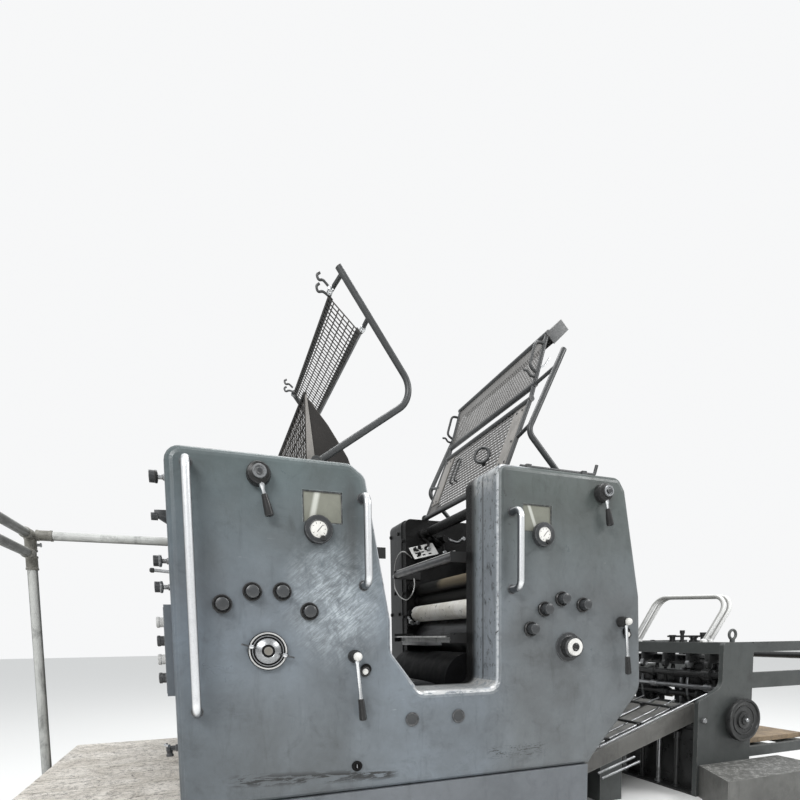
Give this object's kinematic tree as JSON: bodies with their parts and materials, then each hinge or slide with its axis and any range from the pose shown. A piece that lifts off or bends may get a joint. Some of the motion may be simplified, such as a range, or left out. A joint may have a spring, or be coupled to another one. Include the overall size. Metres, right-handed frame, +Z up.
{
  "type": "offset printing press",
  "caption": "Worn two-colour sheet offset press: two grey inking towers round a gap, raised guards, sheet feeder and low delivery deck with a pipe rail.",
  "frame": {"origin": "on the floor, under the middle of the bed between the two towers", "axes": "+X towards the feeder, +Y away from the operator, +Z up"},
  "size_m": [4.512, 1.635, 2.516],
  "materials": {
    "enamel": "worn satin",
    "dark_enamel": "worn satin",
    "cast": "oily",
    "steel": "satin",
    "chrome": "polished",
    "rubber": "matte",
    "blanket": "matte",
    "black_plastic": "satin",
    "dial_face": "gloss",
    "window": "dusty",
    "cloth": "damp cloth sleeve",
    "galvanised": "dull",
    "wood": "worn"
  },
  "bodies": {
    "press_frame": {"bed": "dark_enamel", "operator_side_frame": "cast", "drive_side_frame": "cast", "operator_cover": "enamel", "drive_cover": "enamel", "cross_ties": "cast", "end_covers": "enamel", "ink_rollers": "rubber", "damping_rollers": "cloth", "ink_ducts": "steel", "guard_hinges": "dark_enamel", "guard_left_hood": "dark_enamel", "bosses_and_caps": "steel", "setting_knobs": "black_plastic", "tower_rod": "steel", "finger_guards": "steel", "gap_shafts": "cast", "lifting_eyes": "cast", "board_feet": "dark_enamel", "dials": "dial_face", "inspection_windows": "window", "grab_bars": "chrome", "control_box": "enamel", "end_hand_knobs": "black_plastic", "delivery_frame": "dark_enamel", "delivery_deck": "wood", "guard_rail": "galvanised", "feeder_plates": "dark_enamel", "feed_board": "dark_enamel", "feed_board_rails": "steel", "feeder_bars": "steel", "suction_head": "dark_enamel", "guard_hoops": "chrome", "foot_step": "dark_enamel", "pile_board": "wood"},
    "guard_left": {"guard_left_frame": "dark_enamel", "guard_left_mesh": "dark_enamel"},
    "guard_right": {"guard_right_frame": "dark_enamel", "guard_right_sheet": "galvanised", "guard_right_mesh": "galvanised"},
    "throw_lever_left": {"top_lever_left": "black_plastic"},
    "throw_lever_right": {"top_lever_right": "black_plastic"},
    "damping_lever_left": {"low_lever_left": "chrome"},
    "damping_lever_right": {"low_lever_right": "chrome"},
    "unit_wheel_left": {"handwheel_left": "chrome"},
    "unit_wheel_right": {"handwheel_right": "chrome"},
    "feeder_wheel": {"feeder_handwheel": "cast"},
    "impression": {"impression_cylinder": "steel"},
    "blanket_left": {"blanket_cylinder_left": "blanket"},
    "blanket_right": {"blanket_cylinder_right": "blanket"},
    "plate_left": {"plate_cylinder_left": "steel"},
    "plate_right": {"plate_cylinder_right": "steel"}
  },
  "joints": [
    {"name": "guard_left_swing", "type": "hinge", "parent": "press_frame", "child": "guard_left", "pos_m": [-0.514, 0, 1.653], "axis": [0, 1, 0], "range_deg": [0, 32]},
    {"name": "guard_right_swing", "type": "hinge", "parent": "press_frame", "child": "guard_right", "pos_m": [0.42, 0, 1.723], "axis": [0, -1, 0], "range_deg": [0, 30]},
    {"name": "throw_lever_left_turn", "type": "hinge", "parent": "press_frame", "child": "throw_lever_left", "pos_m": [-0.75, -0.76, 1.546], "axis": [0, 1, 0], "range_deg": [-30, 30]},
    {"name": "throw_lever_right_turn", "type": "hinge", "parent": "press_frame", "child": "throw_lever_right", "pos_m": [0.793, -0.76, 1.611], "axis": [0, 1, 0], "range_deg": [-30, 30]},
    {"name": "damping_lever_left_turn", "type": "hinge", "parent": "press_frame", "child": "damping_lever_left", "pos_m": [-0.408, -0.76, 0.88], "axis": [0, 1, 0], "range_deg": [-35, 35]},
    {"name": "damping_lever_right_turn", "type": "hinge", "parent": "press_frame", "child": "damping_lever_right", "pos_m": [0.921, -0.76, 1.015], "axis": [0, 1, 0], "range_deg": [-35, 35]},
    {"name": "unit_wheel_left_turn", "type": "hinge", "parent": "press_frame", "child": "unit_wheel_left", "pos_m": [-0.738, -0.76, 0.908], "axis": [0, 1, 0], "continuous": true},
    {"name": "unit_wheel_right_turn", "type": "hinge", "parent": "press_frame", "child": "unit_wheel_right", "pos_m": [0.617, -0.76, 0.899], "axis": [0, 1, 0], "continuous": true},
    {"name": "feeder_wheel_turn", "type": "hinge", "parent": "press_frame", "child": "feeder_wheel", "pos_m": [1.985, -0.58, 0.44], "axis": [0, 1, 0], "continuous": true},
    {"name": "impression_turn", "type": "hinge", "parent": "press_frame", "child": "impression", "pos_m": [0, 0, 0.54], "axis": [0, 1, 0], "continuous": true},
    {"name": "blanket_left_turn", "type": "hinge", "parent": "press_frame", "child": "blanket_left", "pos_m": [-0.27436, 0, 0.7357], "axis": [0, 1, 0], "continuous": true},
    {"name": "blanket_right_turn", "type": "hinge", "parent": "press_frame", "child": "blanket_right", "pos_m": [0.27436, 0, 0.7357], "axis": [0, 1, 0], "continuous": true},
    {"name": "plate_left_turn", "type": "hinge", "parent": "press_frame", "child": "plate_left", "pos_m": [-0.43805, 0, 0.95293], "axis": [0, 1, 0], "continuous": true},
    {"name": "plate_right_turn", "type": "hinge", "parent": "press_frame", "child": "plate_right", "pos_m": [0.43805, 0, 0.95293], "axis": [0, 1, 0], "continuous": true}
  ],
  "couplings": [
    {"joint": "blanket_left_turn", "follows": "impression_turn", "ratio": -1.4815},
    {"joint": "blanket_right_turn", "follows": "impression_turn", "ratio": -1.4815},
    {"joint": "plate_left_turn", "follows": "impression_turn", "ratio": 1.4815},
    {"joint": "plate_right_turn", "follows": "impression_turn", "ratio": 1.4815}
  ]
}
